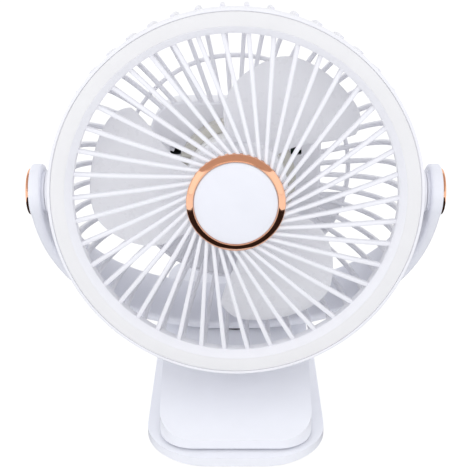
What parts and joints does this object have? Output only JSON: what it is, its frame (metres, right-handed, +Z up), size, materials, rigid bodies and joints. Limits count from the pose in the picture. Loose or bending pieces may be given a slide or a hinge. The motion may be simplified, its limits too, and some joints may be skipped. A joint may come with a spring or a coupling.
{
  "type": "clip-on camping fan",
  "caption": "Clip-on battery fan: round caged head with a ring light, tilting in a yoke that swivels on a sprung wedge clamp which is also its foot.",
  "frame": {"origin": "centre of the rectangle that the fan stands on, at the underside of its foot pads", "axes": "+Z up, -Y is the way the air blows at rest, +X to the right as seen from the front"},
  "size_m": [0.1942, 0.124, 0.2171],
  "materials": {
    "white_plastic": "smooth satin moulded plastic",
    "blade_plastic": "translucent pale blue plastic",
    "diffuser": "milky light diffuser",
    "rose_gold": "polished rose gold plating",
    "steel": "plain steel",
    "motor_steel": "zinc plated steel can",
    "motor_core": "laminated core",
    "copper": "enamelled copper winding",
    "rubber": "matt rubber",
    "circuit_board": "solder mask",
    "led": "phosphor",
    "battery_wrap": "shrink wrap"
  },
  "bodies": {
    "lower_jaw": {"lower_jaw": "white_plastic", "clamp_spring": "steel", "lower_jaw_pad": "rubber", "foot_pads": "rubber"},
    "upper_jaw": {"swivel_washer": "rubber", "upper_jaw_shell": "white_plastic", "upper_jaw_cover": "white_plastic", "jaw_screws": "steel", "hinge_pin": "steel", "upper_jaw_pad": "rubber"},
    "yoke": {"yoke": "white_plastic", "pivot_cap_left": "rose_gold", "pivot_cap_right": "rose_gold", "pivot_bolts": "steel", "pivot_washers": "white_plastic", "swivel_bolt": "steel", "swivel_plug": "white_plastic", "swivel_nut": "steel"},
    "head": {"front_grille": "white_plastic", "front_bezel": "white_plastic", "ring_light_diffuser": "diffuser", "led_board": "circuit_board", "led_chips": "led", "hub_trim_ring": "rose_gold", "hub_cap": "white_plastic", "rear_housing": "white_plastic", "rear_cover": "white_plastic", "battery_cells": "battery_wrap", "control_board": "circuit_board", "tact_switches": "steel", "charging_socket": "steel", "indicator_lenses": "diffuser", "motor_housing": "motor_steel", "motor_end_bell": "motor_steel", "motor_stator": "copper", "motor_bearings": "steel", "motor_screws": "steel", "housing_screws": "steel", "cover_screws": "steel"},
    "rotor": {"motor_rotor": "motor_core", "motor_shaft": "steel", "fan_blade": "blade_plastic", "blade_nut": "white_plastic"},
    "power_button": {"power_button": "rose_gold"},
    "light_button": {"light_button": "white_plastic"}
  },
  "joints": [
    {"name": "clamp_open", "type": "hinge", "parent": "lower_jaw", "child": "upper_jaw", "pos_m": [0, 0.018, 0.0157], "axis": [-1, 0, 0], "range_deg": [0, 30], "stiffness_Nm_per_rad": 1.6, "springref_deg": -34.38, "deforming": ["clamp_spring"]},
    {"name": "yoke_swivel", "type": "hinge", "parent": "upper_jaw", "child": "yoke", "pos_m": [0, 0.02123, 0.0447], "axis": [0, -0.3746, 0.9272], "range_deg": [-165, 165]},
    {"name": "head_tilt", "type": "hinge", "parent": "yoke", "child": "head", "pos_m": [0, -0.024, 0.12996], "axis": [-1, 0, 0], "range_deg": [-90, 90]},
    {"name": "blade_spin", "type": "hinge", "parent": "head", "child": "rotor", "pos_m": [0, -0.024, 0.12996], "axis": [0, -0.9945, 0.1045], "continuous": true},
    {"name": "power_press", "type": "slide", "parent": "head", "child": "power_button", "axis": [0, -0.9945, 0.1045], "range_m": [0, 0.0008], "stiffness_N_per_m": 500, "springref_m": -0.001},
    {"name": "light_press", "type": "slide", "parent": "head", "child": "light_button", "axis": [0, -0.9945, 0.1045], "range_m": [0, 0.0008], "stiffness_N_per_m": 500, "springref_m": -0.001}
  ]
}
